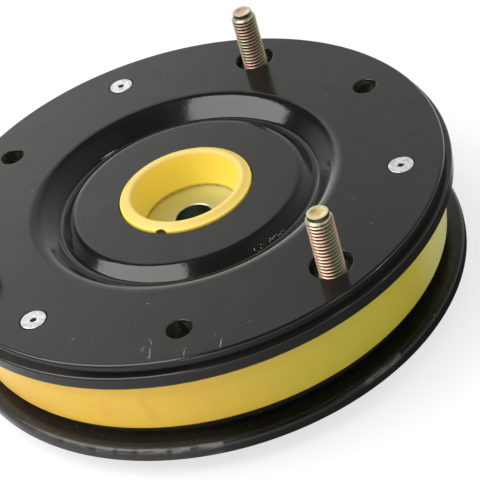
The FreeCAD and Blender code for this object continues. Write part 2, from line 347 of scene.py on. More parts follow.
# long straight stretches get a point near each arc, which keeps their shading flat
def joinRuns(runs):
    outline = []
    for run, following in zip(runs, runs[1:] + runs[:1]):
        outline += run
        along = following[0] - run[-1]
        if along.length > 4 * smooth["holdIn"]:
            hold = along.normalized() * smooth["holdIn"]
            if len(run) > 1:
                outline.append(run[-1] + hold)
            if len(following) > 1:
                outline.append(following[0] - hold)
    return outline


def parallelPath(path, distance):
    normals = []
    for first, second in zip(path, path[1:]):
        along = (Vector(second[:2]) - Vector(first[:2])).normalized()
        normals.append(Vector((along.y, -along.x)))
    moved = []
    for i, (radius, height, rounding) in enumerate(path):
        before = normals[max(i - 1, 0)]
        after = normals[min(i, len(normals) - 1)]
        shift = (before + after) * (distance / (1 + before.dot(after)))
        if rounding > 0:
            turnsLeft = before.x * after.y - before.y * after.x > 0
            rounding = rounding + distance if turnsLeft else max(rounding - distance, smooth["leastRounding"])
        moved.append((radius + shift.x, height + shift.y, rounding))
    return moved


def sheetCorners(path, thickness, endRound=0.0):
    radius, height, _ = path[-1]
    return path[:-1] + [(radius, height, endRound)] + parallelPath(path, thickness)[::-1]


def spin(shape, outline, segments, centre=(0.0, 0.0)):
    rings = []
    for radius, height in outline:
        count = segments if radius > 1e-6 else 1
        rings.append([shape.verts.new((centre[0] * mm + radius * mm * math.cos(fullTurn * k / segments),
                                       centre[1] * mm + radius * mm * math.sin(fullTurn * k / segments),
                                       height * mm)) for k in range(count)])
    faces = []
    for first, second in zip(rings, rings[1:] + rings[:1]):
        if len(first) == 1 and len(second) == 1:
            continue
        for k in range(segments):
            loop = [first[k % len(first)], second[k % len(second)],
                    second[(k + 1) % len(second)], first[(k + 1) % len(first)]]
            faces.append(shape.faces.new(list(dict.fromkeys(loop))))
    bmesh.ops.recalc_face_normals(shape, faces=faces)


def pieceFrom(shape, name):
    mesh = bpy.data.meshes.new(name)
    shape.to_mesh(mesh)
    shape.free()
    return newObject(name, mesh)


def turnedPiece(name, corners, segments=smooth["segments"]):
    shape = bmesh.new()
    spin(shape, roundedOutline(corners), segments)
    return pieceFrom(shape, name)


def bake(piece):
    graph = bpy.context.evaluated_depsgraph_get()
    mesh = bpy.data.meshes.new_from_object(piece.evaluated_get(graph))
    piece.modifiers.clear()
    piece.data = mesh
    return piece


def soften(piece, weighted=False):
    piece.data.shade_smooth()
    piece.data.set_sharp_from_angle(angle=math.radians(smooth["sharpAngle"]))
    if weighted:
        modifier = piece.modifiers.new("evenShine", "WEIGHTED_NORMAL")
        modifier.keep_sharp = True
        modifier.mode = "FACE_AREA"
        bake(piece)
    return piece


def cutAway(piece, cutters):
    tool = pieceFrom(cutters, "cutters")
    modifier = piece.modifiers.new("holes", "BOOLEAN")
    modifier.operation = "DIFFERENCE"
    modifier.solver = "EXACT"
    modifier.object = tool
    bake(piece)
    bpy.data.objects.remove(tool)
    return piece


def finish(piece, material, slot, *nodes, body="upper_mount"):
    piece.data.materials.clear()
    piece.data.materials.append(material)
    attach(piece, body)
    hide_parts(*nodes)
    note(piece.name + " stands for " + ", ".join(nodes))


# a turned piece without a cut
def plainPiece(name, material, slot, node, corners, segments=smooth["segments"], **settings):
    finish(soften(turnedPiece(name, corners, segments)), material, slot, node, **settings)


punch = {"arcSteps": 8, "arcStep": 10.0, "rise": 0.3, "clear": 2.0, "beyond": 1.0, "segments": 96}


def spotAt(radius, angle):
    return radius * math.cos(angle), radius * math.sin(angle)


def drill(cutters, outline, startAngle):
    for k in range(pattern["count"]):
        angle = math.radians(startAngle) + fullTurn * k / pattern["count"]
        spin(cutters, outline, punch["segments"], spotAt(pattern["radius"], angle))


# a punched hole whose upper edge is rolled over, up through the sheet
def punchOutline(radius, edge, low, top):
    arc = []
    for step in range(punch["arcSteps"] + 1):
        angle = math.pi - math.radians(punch["arcStep"] * step)
        arc.append((radius + edge + edge * math.cos(angle), top - edge + edge * math.sin(angle)))
    lastRadius, lastHeight = arc[-1]
    flare = lastRadius + punch["rise"] / math.tan(math.radians(punch["arcStep"]))
    above = top + punch["clear"]
    return [(0, low), (radius, low)] + arc + [(flare, lastHeight + punch["rise"]), (flare, above), (0, above)]


# Geometry Nodes

def newTree(name, inputs):
    tree = bpy.data.node_groups.new(name, "GeometryNodeTree")
    tree.interface.new_socket("Geometry", in_out="INPUT", socket_type="NodeSocketGeometry")
    for label, kind, value in inputs:
        socket = tree.interface.new_socket(label, in_out="INPUT", socket_type=kind)
        if value is not None:
            socket.default_value = value
    tree.interface.new_socket("Geometry", in_out="OUTPUT", socket_type="NodeSocketGeometry")
    return tree, addNode(tree, "NodeGroupInput")


def closeTree(tree, geometry, material):
    whole = addNode(tree, "GeometryNodeRealizeInstances", {"Geometry": geometry})[0]
    painted = addNode(tree, "GeometryNodeSetMaterial", {"Geometry": whole, "Material": material})[0]
    addNode(tree, "NodeGroupOutput", {"Geometry": painted})


def runTree(piece, tree, values):
    modifier = piece.modifiers.new(tree.name, "NODES")
    modifier.node_group = tree
    for item in tree.interface.items_tree:
        if item.in_out == "INPUT" and item.name in values:
            modifier[item.identifier] = values[item.name]
    return bake(piece)


threadForm = {"rootFlat": 1 / 7, "crestFlat": 1 / 7, "weld": 0.002}


# a screw thread: the rows of a grid run along the helix, so that the crests stay crisp
def threadTree():
    length, whole = "NodeSocketFloat", "NodeSocketInt"
    tree, given = newTree("screwThread", [
        ("Diameter", length, 0.01), ("Depth", length, 0.0009), ("Pitch", length, 0.0015),
        ("Low", length, 0.0), ("High", length, 0.02), ("Chamfer", length, 0.0016),
        ("End Diameter", length, 0.0074), ("Columns", whole, 64), ("Rows per Turn", whole, 14),
        ("Material", "NodeSocketMaterial", None)])
    low, high, pitch = given["Low"], given["High"], given["Pitch"]
    span = plus(minus(high, low), times(pitch, 3.0))
    rows = maths("ROUND", times(maths("DIVIDE", span, pitch), given["Rows per Turn"]))
    grid = addNode(tree, "GeometryNodeMeshGrid",
                   {"Size X": 1.0, "Size Y": span, "Vertices X": plus(given["Columns"], 1),
                    "Vertices Y": plus(rows, 1)})
    place = split(addNode(tree, "GeometryNodeInputPosition")[0])
    around = plus(place["X"], 0.5)
    along = plus(place["Y"], times(span, 0.5))
    start = minus(low, times(pitch, 2.0))
    raw = plus(plus(start, along), times(pitch, around))
    level = maths("MINIMUM", larger(raw, low), high)
    phase = maths("FRACT", maths("DIVIDE", along, pitch))
    crest = maths("ABSOLUTE", times(minus(phase, 0.5), 2.0))
    rise = remap(crest, threadForm["rootFlat"], 1 - threadForm["crestFlat"], smoothly=False)
    outer = times(given["Diameter"], 0.5)
    ridged = minus(outer, times(given["Depth"], minus(1.0, rise)))
    taper = remap(level, minus(high, given["Chamfer"]), high,
                  outer, times(given["End Diameter"], 0.5), smoothly=False)
    inLow = remap(minus(low, raw), 0.0, pitch, 1.0, 0.0, smoothly=False)
    inHigh = remap(minus(raw, high), 0.0, pitch, 1.0, 0.0, smoothly=False)
    radius = times(maths("MINIMUM", ridged, taper), times(inLow, inHigh))
    angle = times(around, fullTurn)
    spot = join(X=times(radius, maths("COSINE", angle)), Y=times(radius, maths("SINE", angle)), Z=level)
    moved = addNode(tree, "GeometryNodeSetPosition", {"Geometry": grid["Mesh"], "Position": spot})
    merged = addNode(tree, "GeometryNodeMergeByDistance",
                     {"Geometry": moved[0], "Distance": threadForm["weld"] * mm})
    closeTree(tree, merged[0], given["Material"])
    return tree


def patternTree():
    tree, given = newTree("boltCircle", [
        ("Count", "NodeSocketInt", 3), ("Radius", "NodeSocketFloat", 0.085),
        ("First Angle", "NodeSocketFloat", 0.0), ("Material", "NodeSocketMaterial", None)])
    circle = addNode(tree, "GeometryNodeMeshCircle", {"Vertices": given["Count"], "Radius": given["Radius"]})
    turned = addNode(tree, "GeometryNodeTransform",
                     {"Geometry": circle[0], "Rotation": join(Z=given["First Angle"])})
    step = maths("DIVIDE", fullTurn, given["Count"])
    number = addNode(tree, "GeometryNodeInputIndex")[0]
    facing = plus(given["First Angle"], times(number, step))
    copies = addNode(tree, "GeometryNodeInstanceOnPoints",
                     {"Points": turned[0], "Instance": given["Geometry"], "Rotation": join(Z=facing)})
    closeTree(tree, copies[0], given["Material"])
    return tree


def patterned(piece, tree, startAngle, material):
    return runTree(piece, tree, {"Count": pattern["count"], "Radius": pattern["radius"] * mm,
                                 "First Angle": math.radians(startAngle), "Material": material})


# Materials
# Colours are linear. Cloudy colours are (grain, colour, colour), patches (grain, start, end) of the noise
# and maybe its detail and roughness, roughness (grain, least, most), a bump (grain, strength, height),
# specks (grain, share of cells, size in cells). Other pairs say where something starts and ends. Places
# and heights are in metres, but those that end in Over are in mm over a level, with the share reached.

noiseRange = (0.3, 0.7)
speckCore = 0.4


def newMaterial(name, **settings):
    material = bpy.data.materials.new(name)
    tree = emptyTree(material)
    shader = tree.nodes.new("ShaderNodeBsdfPrincipled")
    shader.name = "surface"
    for label, value in settings.items():
        wire(value, shader.inputs[label.replace("_", " ")])
    addNode(tree, "ShaderNodeOutputMaterial", {"Surface": shader.outputs[0]})
    return material, addNode(tree, "ShaderNodeTexCoord")["Object"]


def cover(material, colour, normal, roughness=None):
    shader = material.node_tree.nodes["surface"].inputs
    wire(colour, shader["Base Color"])
    wire(normal, shader["Normal"])
    if roughness is not None:
        wire(roughness, shader["Roughness"])
    return material


def noise(place, grain, detail=3.0, roughness=0.5):
    return follow("ShaderNodeTexNoise",
                  {"Vector": place, "Scale": grain, "Detail": detail, "Roughness": roughness})["Fac"]


def mottle(place, form, detail=3.0):
    grain, *colours = form
    return blendColours(noise(place, grain, detail), *colours)


def patches(place, grain, start, end, detail=3.0, roughness=0.5):
    return remap(noise(place, grain, detail, roughness), start, end)


def uneven(place, grain, least, most):
    return remap(noise(place, grain), *noiseRange, least, most)


def bump(height, strength, distance, under=None):
    inputs = {"Height": height, "Strength": strength, "Distance": distance}
    if under is not None:
        inputs["Normal"] = under
    return follow("ShaderNodeBump", inputs)[0]


def grainBump(place, form, detail=3.0, under=None):
    grain, strength, distance = form
    return bump(noise(place, grain, detail), strength, distance, under)


# small bright specks, where a cell's own random number is high enough
def specks(place, grain, share, size):
    cells = follow("ShaderNodeTexVoronoi", {"Vector": place, "Scale": grain}, feature="F1")
    number = follow("ShaderNodeSeparateColor", {"Color": cells["Color"]})[0]
    return times(maths("GREATER_THAN", number, 1 - share), remap(cells["Distance"], size, speckCore * size))


scratchesAndGlint = {
    "marks": [  # x, y, angle, length, width, strength
        (-26.4, -91.5, 80, 4.2, 0.42, 0.75), (-25.3, -85.8, 96, 2.8, 0.34, 0.5),
        (-28.6, -88.4, 62, 2.4, 1.1, 0.22), (-27.2, -93.4, 55, 1.3, 0.5, 0.5),
        (-14.9, -96.6, 75, 2.0, 0.36, 0.6), (-14.2, -94.6, 20, 1.2, 0.6, 0.22),
        (-2.0, -97.4, 72, 3.4, 0.36, 0.75), (-3.0, -92.5, 84, 1.2, 0.3, 0.3),
        (9.0, -91.0, 8, 2.6, 0.3, 0.25), (-52.0, -72.0, 40, 1.2, 0.5, 0.3),
        (61.0, -58.0, 20, 1.6, 0.3, 0.3), (38.0, 88.0, 120, 1.8, 0.3, 0.3),
        # the last mark is no scratch: a painted glint on the groove's outer slope
        (-26.8, 44.6, 30, 5.0, 0.55, 1.0)],
    "markDepth": 50.0, "markEdge": (1.0, 0.2), "gaps": (2600.0, 0.42, 0.6, 3.0, 0.6),
}
grooveGlints = {
    "radius": 49.6, "wide": 1.2, "wideCore": 0.4, "angle": -61.0, "half": 11.0, "halfCore": 0.5,
    "strength": 0.9, "specks": (1500.0, 0.5, 0.42),
}


def scratchAndGlintMask(place):
    total = 0.0
    for x, y, angle, length, width, strength in scratchesAndGlint["marks"]:
        local = follow("ShaderNodeMapping",
                       {"Vector": place, "Location": (x * mm, y * mm, 0),
                        "Rotation": (0, 0, math.radians(angle)),
                        "Scale": (length * mm, width * mm, scratchesAndGlint["markDepth"] * mm)},
                       vector_type="TEXTURE")[0]
        total = larger(total, remap(lengthOf(local), *scratchesAndGlint["markEdge"], 0.0, strength))
    return times(total, patches(place, *scratchesAndGlint["gaps"]))


# painted glints: the fine bright dots that lie along one stretch of the groove round the crown
def grooveGlintMask(place, radius, angle):
    size = grooveGlints
    along = remap(apart(angle, size["angle"]), size["half"], size["halfCore"] * size["half"])
    wide = size["wide"] * mm
    across = remap(apart(radius, size["radius"] * mm), wide, size["wideCore"] * wide, 0.0, size["strength"])
    return times(times(along, across), specks(place, *size["specks"]))


plateLook = {
    "black": (14.0, (0.0060, 0.0060, 0.0062), (0.0115, 0.0112, 0.0100)),
    # olive blotches inside the holes: a painted reflection of the yellow ring below
    "holeOliveReflection": ((0.007, 0.008, 0.004), (0.060, 0.060, 0.036)), "holeOliveReflectionPatches": (420.0, 0.42, 0.62),
    "offCircle": (0.0105, 0.0100), "holeDepth": (-0.0006, -0.0011), "holeRoughness": 0.6,
    "paleMarks": (0.42, 0.42, 0.40), "paleMarkRoughness": 0.55, "dust": (170.0, 0.04, 0.09), "dustStrength": 0.25,
    "roughness": (33.0, 0.11, 0.17), "peel": (520.0, 0.16, 0.0002), "wave": (70.0, 0.10, 0.0012),
}


def platePaint():
    look = plateLook
    material, place = newMaterial("plateGlossBlack", IOR=1.5)
    parts = split(place)
    radius, angle = aroundAxis(parts)
    marks = larger(scratchAndGlintMask(place), grooveGlintMask(place, radius, angle))
    # pale marks: real scratches and dust specks, together with painted glints on the groove
    paleMarks = larger(marks, times(specks(place, *look["dust"]), look["dustStrength"]))
    offCircle = apart(radius, pattern["radius"] * mm)
    inHole = times(remap(offCircle, *look["offCircle"]), remap(parts["Z"], *look["holeDepth"]))
    # painted reflection: olive blotches on the hole walls stand in for the yellow ring mirrored below
    holeOliveReflection = blendColours(patches(place, *look["holeOliveReflectionPatches"]), *look["holeOliveReflection"])
    paint = blendColours(inHole, mottle(place, look["black"]), holeOliveReflection)
    dulled = larger(times(paleMarks, look["paleMarkRoughness"]), times(inHole, look["holeRoughness"]))
    peel = grainBump(place, look["peel"], detail=2.0)
    return cover(material, blendColours(paleMarks, paint, look["paleMarks"]), grainBump(place, look["wave"], 1.0, peel),
                 larger(uneven(place, *look["roughness"]), dulled))


seatLook = {
    "patches": [  # angle, half width, strength of the wear along the flange's edge
        (-122.0, 2.3, 0.5), (-117.5, 1.9, 0.6), (-111.5, 3.6, 0.8), (-105.4, 2.2, 0.9), (-99.4, 3.0, 0.8),
        (-129.0, 3.6, 0.3), (-137.0, 3.5, 0.25), (-62.0, 4.0, 0.4), (-57.0, 2.0, 0.5),
        (35.0, 7.0, 0.5), (105.0, 5.0, 0.6), (160.0, 6.0, 0.4)],
    "patchCore": 0.7, "inner": (0.1009, 0.1014), "outer": (0.1027, 0.1021),
    "aroundScale": 0.0003, "wobbleGrain": 420.0, "wobble": 0.0014, "streakGrain": 1100.0,
    "streaks": (0.36, 0.60, 0.25, 1.0), "dust": (240.0, 0.08, 0.12), "dustStrength": 0.35,
    "cloudGrain": 60.0, "leftSide": (0.004, -0.030), "dustyFrom": (0.0975, 0.0990),
    "ringReflectionBrown": ((0.014, 0.0118, 0.0088), (0.020, 0.0170, 0.0130)), "dusty": (0.030, 0.030, 0.028),
    "rightSideShade": ((0.0028, 0.0036, 0.0034), (0.0050, 0.0060, 0.0056)), "paleMarks": (0.165, 0.165, 0.168),
    "paleMarkRoughness": 0.6, "shelteredOver": (5.05, 5.5, 0.8), "roughness": (120.0, 0.2, 0.32),
    "bump": (900.0, 0.18, 0.0002),
}


def seatPaint():
    look = seatLook
    material, place = newMaterial("seatDullBlack", IOR=1.5, Specular_IOR_Level=0.38)
    parts = split(place)
    radius, angle = aroundAxis(parts)
    scuffed = 0.0
    for centre, half, strength in look["patches"]:
        scuffed = larger(scuffed, remap(apart(angle, centre), half, look["patchCore"] * half, 0.0, strength))
    along = join(X=times(angle, look["aroundScale"]), Y=radius, Z=parts["Z"])
    wobble = noise(along, look["wobbleGrain"], roughness=0.65)
    shifted = plus(radius, maths("MULTIPLY_ADD", wobble, look["wobble"], -look["wobble"] / 2))
    edge = times(remap(shifted, *look["inner"]), remap(shifted, *look["outer"]))
    streaks = remap(noise(along, look["streakGrain"], roughness=0.7), *look["streaks"])
    dust = times(specks(place, *look["dust"]), look["dustStrength"])
    paleMarks = larger(times(times(scuffed, edge), streaks), dust)
    cloud = noise(place, look["cloudGrain"], 4.0)
    # painted reflection and shade: the flange is brown on the left, where it mirrors the yellow ring, and
    # darker and cooler on the shaded right
    warm = blendColours(remap(radius, *look["dustyFrom"]), blendColours(cloud, *look["ringReflectionBrown"]), look["dusty"])
    leftReflectionRightShade = blendColours(remap(parts["X"], *look["leftSide"]), blendColours(cloud, *look["rightSideShade"]), warm)
    sheltered = byHeight(parts["Z"], seatLipLow, *look["shelteredOver"])
    dulled = larger(times(paleMarks, look["paleMarkRoughness"]), sheltered)
    return cover(material, blendColours(paleMarks, leftReflectionRightShade, look["paleMarks"]), grainBump(place, look["bump"]),
                 larger(uneven(place, *look["roughness"]), dulled))


ringLook = {
    "golden": (22.0, (0.715, 0.430, 0.036), (0.765, 0.505, 0.054)), "sideSlant": 0.35,
    "shadedOlive": (26.0, (0.44, 0.364, 0.022), (0.465, 0.402, 0.038)), "side": (-0.078, 0.016),
    "ochre": (0.66, 0.30, 0.02), "ochrePatches": (75.0, 0.60, 0.74, 2.0), "ochreSide": (0.7, 0.1, 0.0, 0.5),
    "edge": (0.78, 0.62, 0.24), "topHighlightOver": (-2.6, -0.8, 0.4),
    "farRightSheen": (0.84, 0.84, 0.42), "farRightSheenFrom": (0.068, 0.094, 0.0, 0.65), "bump": (90.0, 0.12, 0.0008),
}


def ringPolyurethane():
    look = ringLook
    material, place = newMaterial(
        "ringGoldenPolyurethane", Roughness=0.36, IOR=1.5, Subsurface_Weight=0.18, Subsurface_Scale=0.004,
        Subsurface_Radius=(1.0, 0.55, 0.12))
    parts = split(place)
    # painted shade: the ring turns from golden on the lit left and front to a darker olive on the shaded
    # right
    side = remap(plus(parts["X"], times(parts["Y"], look["sideSlant"])), *look["side"])
    plain = blendColours(side, mottle(place, look["golden"]), mottle(place, look["shadedOlive"]))
    ochre = times(patches(place, *look["ochrePatches"]), remap(side, *look["ochreSide"]))
    mottled = blendColours(ochre, plain, look["ochre"])
    # painted highlight: a paler line along the ring's upper edge
    topHighlighted = blendColours(byHeight(parts["Z"], underLevel, *look["topHighlightOver"]), mottled, look["edge"])
    # painted sheen: the ring's far right end turns pale, as if mirroring the bright floor
    farRightSheen = remap(parts["X"], *look["farRightSheenFrom"])
    return cover(material, blendColours(farRightSheen, topHighlighted, look["farRightSheen"]), grainBump(place, look["bump"]))


bushLook = {
    "wall": (60.0, (0.98, 0.70, 0.080), (0.99, 0.76, 0.105)),
    "lip": (0.70, 0.54, 0.145), "lipFrom": (-0.0026, -0.0010),
    "grime": (0.34, 0.165, 0.025), "grimeFrom": (-0.0143, -0.0156, 0.0, 0.8),
    "grimePatches": (1400.0, 0.2, 0.55, 4.0),
    "notch": (0.085, 0.050, 0.016), "notchMargin": 0.06, "bump": (260.0, 0.1, 0.0004),
}


def bushPolyurethane():
    look = bushLook
    material, place = newMaterial(
        "bushYellowPolyurethane", Roughness=0.5, IOR=1.5, Subsurface_Weight=0.5, Subsurface_Scale=0.0035,
        Subsurface_Radius=(1.0, 0.6, 0.15))
    parts = split(place)
    # painted shade: the lip gets a darker, paler-yellow tone than the wall, evening out the stronger light on
    # its top
    pale = blendColours(remap(parts["Z"], *look["lipFrom"]), mottle(place, look["wall"]), look["lip"])
    stain = times(remap(parts["Z"], *look["grimeFrom"]), patches(place, *look["grimePatches"]))
    grimy = blendColours(stain, pale, look["grime"])
    # painted shade: the notch is coloured dark brown, as a deep hole in shadow
    x, y = notchSpot()
    away = lengthOf(join(X=minus(parts["X"], x * mm), Y=minus(parts["Y"], y * mm)))
    notched = maths("LESS_THAN", away, (bushSizes["notchRadius"] + look["notchMargin"]) * mm)
    return cover(material, blendColours(notched, grimy, look["notch"]), grainBump(place, look["bump"]))


studLook = {
    "tan": (330.0, (0.66, 0.49, 0.33), (0.63, 0.53, 0.40)), "tintShare": 0.62,
    "tints": ((0.78, 0.46, 0.37), (0.40, 0.50, 0.28)), "tintFrom": (0.48, 0.74),
    "patchGrain": 150.0, "patchStretch": (1, 1, 0.4), "atBack": (-0.01, 0.01), "backShift": -0.0022,
    "bandLeft": (0.0422, 0.0433), "bandRight": (0.0480, 0.0445), "bandGain": 0.3,
    "grey": (0.44, 0.46, 0.32), "greyOver": (-6.0, -4.0, 0.6),
    "rootShade": (0.115, 0.090, 0.062), "rootFrom": (0.1, 0.9),
    "side": (0.06, 0.085, 0.045), "sideOver": (-1.9, -1.6, 0.88), "rimOver": (-0.22, -0.02),
    "frontTop": ((0.76, 0.56, 0.24), (0.74, 0.72, 0.46)), "backTop": ((0.75, 0.48, 0.39), (0.64, 0.61, 0.45)),
    "roughness": (600.0, 0.32, 0.46), "bump": (2200.0, 0.2, 0.00008),
}


# marks that the studs' mesh carries: how deep a point of the thread lies, and what is on the dished end
studMarks = ("groove", "pointTop")


def yellowZinc():
    look = studLook
    material, place = newMaterial("studYellowZinc", Metallic=0.8)
    groove, pointTop = [addNode(material.node_tree, "ShaderNodeAttribute", attribute_name=mark)["Fac"]
                        for mark in studMarks]
    parts = split(place)
    atBack = remap(parts["Y"], *look["atBack"])
    # painted shade: a green band down the studs' right sides, shifted for the back stud
    across = maths("MULTIPLY_ADD", atBack, look["backShift"], parts["X"])
    rightShadeBand = times(remap(across, *look["bandLeft"]), remap(across, *look["bandRight"]))
    stretched = follow("ShaderNodeMapping", {"Vector": place, "Scale": look["patchStretch"]})[0]
    patchy = maths("MULTIPLY_ADD", rightShadeBand, look["bandGain"], noise(stretched, look["patchGrain"], 2.0))
    tinted = blendColours(remap(patchy, *look["tintFrom"]), *look["tints"])
    plated = blendColours(look["tintShare"], mottle(place, look["tan"], 2.0), tinted)
    greyed = blendColours(byHeight(parts["Z"], studTop, *look["greyOver"]), plated, look["grey"])
    # painted shade: darker colour in the thread's roots
    rootShaded = blendColours(remap(groove, *look["rootFrom"]), greyed, look["rootShade"])
    # painted shade: the dog point's side is darkened, as in shadow
    shaded = blendColours(byHeight(parts["Z"], studTop, *look["sideOver"]), rootShaded, look["side"])
    rim = byHeight(parts["Z"], studTop, *look["rimOver"])
    front, back = [blendColours(rim, *look[key]) for key in ("frontTop", "backTop")]
    topColour = blendColours(atBack, front, back)
    return cover(material, blendColours(pointTop, shaded, topColour), grainBump(place, look["bump"]),
                 uneven(place, *look["roughness"]))


discLook = {
    "pale": (120.0, (0.61, 0.67, 0.51), (0.73, 0.77, 0.65)), "bore": (0.27, 0.30, 0.24),
    "boreMargins": (0.25, 0.1), "ringGrain": 1500.0, "roughness": (0.26, 0.44), "ringBump": (0.15, 0.00006),
}


def discZinc():
    look = discLook
    material, place = newMaterial("discPaleZinc", Metallic=1.0)
    radius, _ = aroundAxis(split(place))
    rings = noise(join(X=radius), look["ringGrain"])
    # painted shade: darker colour round and inside the bore
    boreShade = remap(radius, *[(discSizes["bore"] + margin) * mm for margin in look["boreMargins"]])
    return cover(material, blendColours(boreShade, mottle(place, look["pale"]), look["bore"]),
                 bump(rings, *look["ringBump"]), remap(rings, *noiseRange, *look["roughness"]))


rivetLook = {
    "bright": ((0.58, 0.58, 0.60), (0.90, 0.90, 0.90)), "brightPatches": (430.0, 0.34, 0.62, 4.0, 0.65),
    "dimpleShade": (0.04, 0.04, 0.038), "sunkFrom": (-0.00005, -0.0004),
    "roughness": (500.0, 0.34, 0.5), "bump": (1400.0, 0.2, 0.00008),
}


def rivetZinc():
    look = rivetLook
    material, place = newMaterial("rivetBrightZinc", Metallic=0.85)
    bright = blendColours(patches(place, *look["brightPatches"]), *look["bright"])
    # painted shade: the sunk dimple in the head is darkened
    dimpleShade = remap(split(place)["Z"], *look["sunkFrom"])
    return cover(material, blendColours(dimpleShade, bright, look["dimpleShade"]), grainBump(place, look["bump"]),
                 uneven(place, *look["roughness"]))


def plainMaterial(name, cloudy, roughness, metallic=0.0, bumpiness=0.15):
    material, place = newMaterial(name, Metallic=metallic)
    grain = cloudy[0]
    return cover(material, mottle(place, cloudy, 4.0), grainBump(place, (6 * grain, bumpiness, 0.0002)),
                 uneven(place, 2.5 * grain, 0.8 * roughness, 1.2 * roughness))


# Pieces

topPlateSizes = {
    "thick": 4.0, "bore": 26.75, "crown": 45.3, "crownDepth": 2.7, "crownRound": 5.0,
    "groove": 51.1, "grooveDepth": 7.0, "grooveRound": 2.6, "recess": 59.5, "recessRound": 8.0,
    "edge": 1.2, "studHole": 7.85, "plainHole": 4.65, "holeEdge": 0.5,
    "rivetHole": 3.075, "sink": 5.25, "sinkEdge": 0.2, "sinkDepth": 2.2, "sinkLand": 0.6,
}


def topPlatePath():
    size = topPlateSizes
    return [(size["bore"], -size["crownDepth"], 0), (size["crown"], -size["crownDepth"], size["crownRound"]),
            (size["groove"], -size["grooveDepth"], size["grooveRound"]),
            (size["recess"], 0, size["recessRound"]), (plateRadius, 0, 0)]


def makeTopPlate(paint):
    size = topPlateSizes
    piece = turnedPiece("topPlate", sheetCorners(topPlatePath(), size["thick"], size["edge"]))
    cutters = bmesh.new()
    low = jointLevel - punch["beyond"]
    for radius, angle in ((size["studHole"], pattern["studAngle"]),
                          (size["plainHole"], pattern["holeAngle"])):
        drill(cutters, punchOutline(radius, size["holeEdge"], low, 0), angle)
    sink = punchOutline(size["sink"], size["sinkEdge"], -size["sinkLand"], 0)
    countersink = [(0, low), (size["rivetHole"], low), (size["rivetHole"], -size["sinkDepth"])] + sink[1:]
    drill(cutters, countersink, pattern["rivetAngle"])
    soften(cutAway(piece, cutters), weighted=True)
    finish(piece, paint, "plate_paint", "top_plate")


studPlateSizes = {
    "bore": 63.5, "topRound": 0.9, "lowRound": 1.2, "studHole": 5.2, "plainHole": 4.65, "rivetHole": 3.075,
}


def makeStudPlate(paint):
    size = studPlateSizes
    piece = turnedPiece("studPlate", [
        (size["bore"], underLevel, 0), (studPlateRadius, underLevel, size["lowRound"]),
        (studPlateRadius, jointLevel, size["topRound"]), (size["bore"], jointLevel, 0)])
    cutters = bmesh.new()
    low, high = underLevel - punch["beyond"], jointLevel + punch["beyond"]
    for radius, angle in ((size["studHole"], pattern["studAngle"]), (size["plainHole"], pattern["holeAngle"]),
                          (size["rivetHole"], pattern["rivetAngle"])):
        drill(cutters, [(0, low), (radius, low), (radius, high), (0, high)], angle)
    soften(cutAway(piece, cutters), weighted=True)
    finish(piece, paint, "plate_paint", "stud_plate")


studSizes = {
    "diameter": 10.0, "pitch": 1.5, "threadDepth": 0.92, "threadOverlap": 0.02, "chamfer": 1.0,
    "pointRadius": 3.95, "pointHeight": 1.7, "pointRoot": 0.4, "pointRound": 0.15,
    "dishRim": 0.9, "dishDepth": 0.4, "dishFloor": 0.45, "dishEdge": 0.3, "dishRound": 0.8,
    "markDepth": 0.48, "markInset": 0.05,
    "shank": 5.2, "head": 8.5, "headHeight": 3.0, "headRound": 0.3, "segments": 64,
}


def makeStuds(zinc, circleTree):
    size = studSizes
    chamferTop, segments = studTop - size["pointHeight"], size["segments"]
    thread = newObject("thread", bpy.data.meshes.new("thread"))
    runTree(thread, threadTree(), {
        "Diameter": size["diameter"] * mm, "Depth": size["threadDepth"] * mm, "Pitch": size["pitch"] * mm,
        "Low": jointLevel * mm, "High": (chamferTop + size["threadOverlap"]) * mm,
        "Chamfer": size["chamfer"] * mm, "End Diameter": 2 * size["pointRadius"] * mm, "Material": zinc})
    shape = bmesh.new()
    shape.from_mesh(thread.data)
    bmesh.ops.recalc_face_normals(shape, faces=shape.faces)
    bpy.data.objects.remove(thread)
    dish, dishLevel = size["pointRadius"] - size["dishRim"], studTop - size["dishDepth"]
    pointLow = chamferTop - size["pointRoot"]
    spin(shape, roundedOutline([
        (0, pointLow, 0), (size["pointRadius"], pointLow, 0),
        (size["pointRadius"], studTop, size["pointRound"]), (dish, studTop, size["dishEdge"]),
        (size["dishFloor"] * dish, dishLevel, size["dishRound"]), (0, dishLevel, 0)]), segments)
    headLow = underLevel - size["headHeight"]
    spin(shape, roundedOutline([
        (0, headLow, 0), (size["head"], headLow, size["headRound"]), (size["head"], underLevel, 0),
        (size["shank"], underLevel, 0), (size["shank"], jointLevel, 0), (0, jointLevel, 0)]), segments)
    markStud(shape, chamferTop - size["chamfer"])
    piece = pieceFrom(shape, "studs")
    soften(patterned(piece, circleTree, pattern["studAngle"], zinc))
    finish(piece, zinc, "gold_zinc", "stud_1", "stud_2", "stud_3")


def markStud(shape, threadTop):
    size = studSizes
    groove, pointTop = [shape.verts.layers.float.new(mark) for mark in studMarks]
    for corner in shape.verts:
        radius, level = math.hypot(corner.co.x, corner.co.y) / mm, corner.co.z / mm
        if jointLevel < level < threadTop:
            corner[groove] = min(max((size["diameter"] / 2 - radius) / size["threadDepth"], 0.0), 1.0)
        if level > studTop - size["markDepth"] and radius < size["pointRadius"] - size["markInset"]:
            corner[pointTop] = 1.0


rivetSizes = {
    "shank": 3.0, "head": 4.95, "headLow": 4.65, "land": 0.6, "depth": 2.2, "proud": 0.15, "rim": 0.25,
    "face": 3.3, "faceDrop": 0.05, "faceRound": 2.0, "dimple": 1.3, "dimpleEdge": 0.25, "dimpleTaper": 0.3,
    "dimpleDepth": 0.9, "dimpleRound": 0.2, "tail": 5.5, "tailHeight": 2.2, "tailRound": 1.1, "segments": 72,
}


